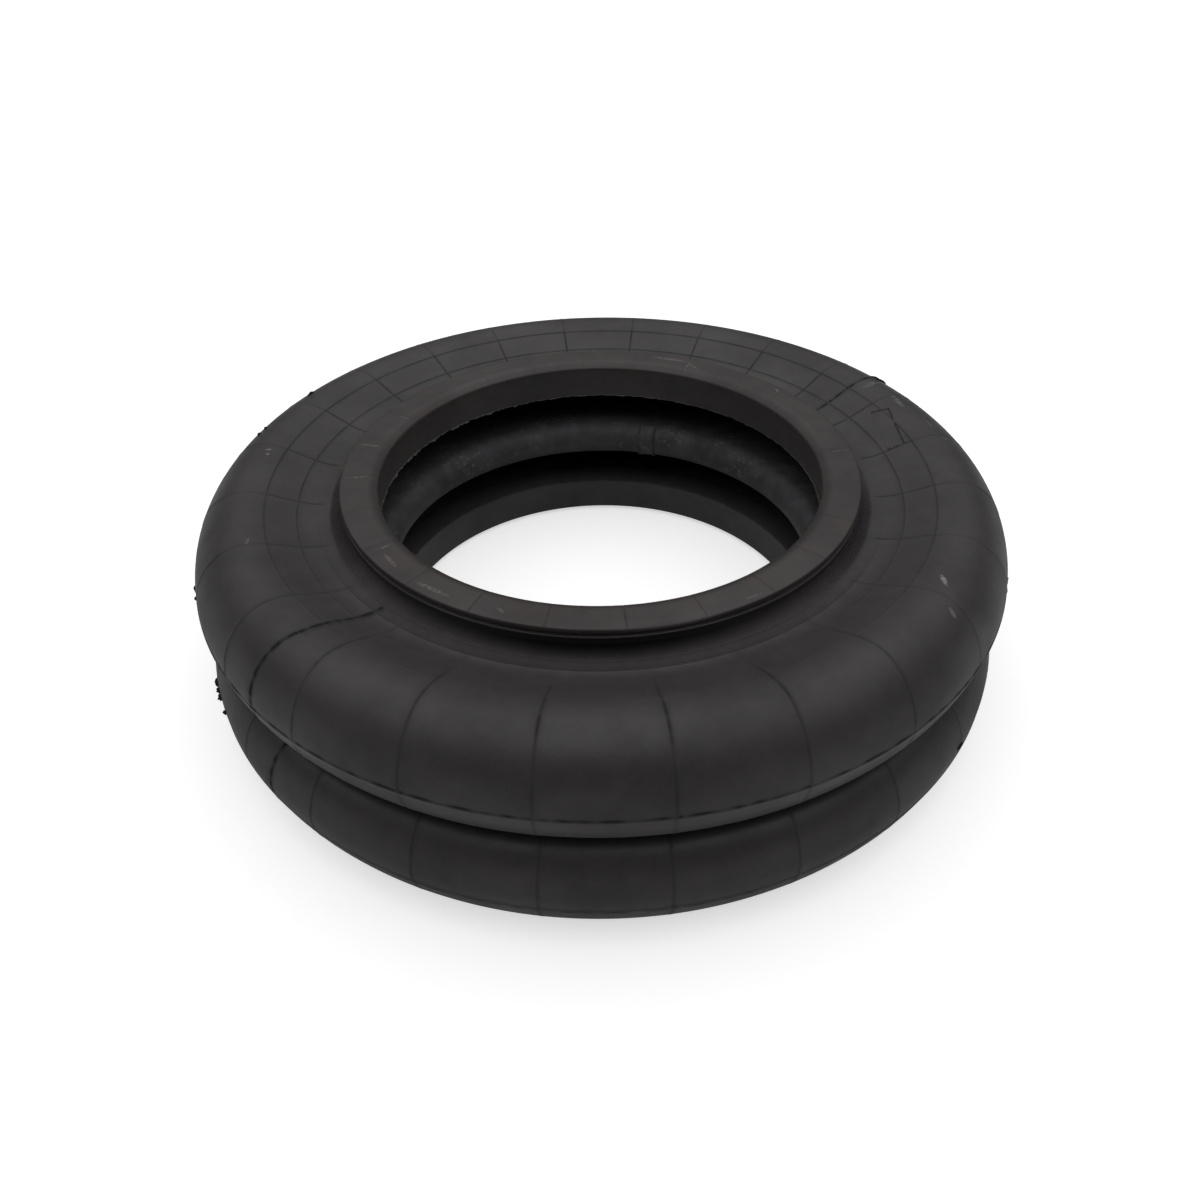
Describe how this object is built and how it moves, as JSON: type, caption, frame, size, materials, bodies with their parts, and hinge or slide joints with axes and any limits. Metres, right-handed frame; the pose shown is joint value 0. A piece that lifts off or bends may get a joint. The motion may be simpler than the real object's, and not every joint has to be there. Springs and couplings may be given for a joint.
{
  "type": "air bellows actuator",
  "caption": "Rubber air bellows with two convolutions, thick clamping beads top and bottom and a stiff girdle between; it strokes along its axis and tilts.",
  "frame": {"origin": "centre of the lower bead face, where the bellows stands", "axes": "+Z along the bellows axis, from the lower bead to the upper bead; the far side of the picture is +Y and its right side is +X"},
  "size_m": [0.303, 0.303, 0.0785],
  "materials": {
    "rubber": "matte moulded charcoal rubber",
    "ply_fabric": "rubberised cord fabric, seen only in a cut",
    "bead_steel": "drawn wire with a bronze coat, seen only in a cut",
    "liner_rubber": "dark satin inner rubber"
  },
  "bodies": {
    "lower_bead": {"bead_foot_lower": "rubber", "bead_wire_lower": "bead_steel", "bead_filler_lower": "rubber"},
    "lower_wall": {"cover_lower": "rubber", "outer_ply_lower": "ply_fabric", "inner_ply_lower": "ply_fabric", "liner_lower": "liner_rubber"},
    "girdle": {"girdle_liner": "liner_rubber", "girdle_inner_ply": "ply_fabric", "girdle_outer_ply": "ply_fabric", "girdle_cushion": "rubber", "girdle_hoop": "bead_steel", "girdle_outer_band": "rubber", "girdle_splice_strip": "liner_rubber"},
    "upper_wall": {"cover_upper": "rubber", "outer_ply_upper": "ply_fabric", "inner_ply_upper": "ply_fabric", "liner_upper": "liner_rubber"},
    "upper_bead": {"bead_foot_upper": "rubber", "bead_wire_upper": "bead_steel", "bead_filler_upper": "rubber"}
  },
  "joints": [
    {"name": "lower_stroke", "type": "slide", "parent": "lower_bead", "child": "lower_wall", "axis": [0, 0, 1], "range_m": [-0.009, 0.025], "stiffness_N_per_m": 20000, "deforming": ["cover_lower", "outer_ply_lower", "inner_ply_lower", "liner_lower"]},
    {"name": "lower_tilt", "type": "hinge", "parent": "lower_wall", "child": "girdle", "pos_m": [0, 0, 0.0222], "axis": [1, 0, 0], "range_deg": [-3.5, 3.5], "stiffness_Nm_per_rad": 170, "deforming": ["cover_lower", "outer_ply_lower", "inner_ply_lower", "liner_lower"]},
    {"name": "upper_tilt", "type": "hinge", "parent": "girdle", "child": "upper_wall", "pos_m": [0, 0, 0.0563], "axis": [1, 0, 0], "range_deg": [-3.5, 3.5], "stiffness_Nm_per_rad": 170, "deforming": ["cover_upper", "outer_ply_upper", "inner_ply_upper", "liner_upper"]},
    {"name": "upper_stroke", "type": "slide", "parent": "upper_wall", "child": "upper_bead", "axis": [0, 0, 1], "range_m": [-0.009, 0.025], "stiffness_N_per_m": 20000, "deforming": ["cover_upper", "outer_ply_upper", "inner_ply_upper", "liner_upper"]}
  ],
  "couplings": [
    {"joint": "upper_stroke", "follows": "lower_stroke", "ratio": 1},
    {"joint": "upper_tilt", "follows": "lower_tilt", "ratio": 1}
  ]
}
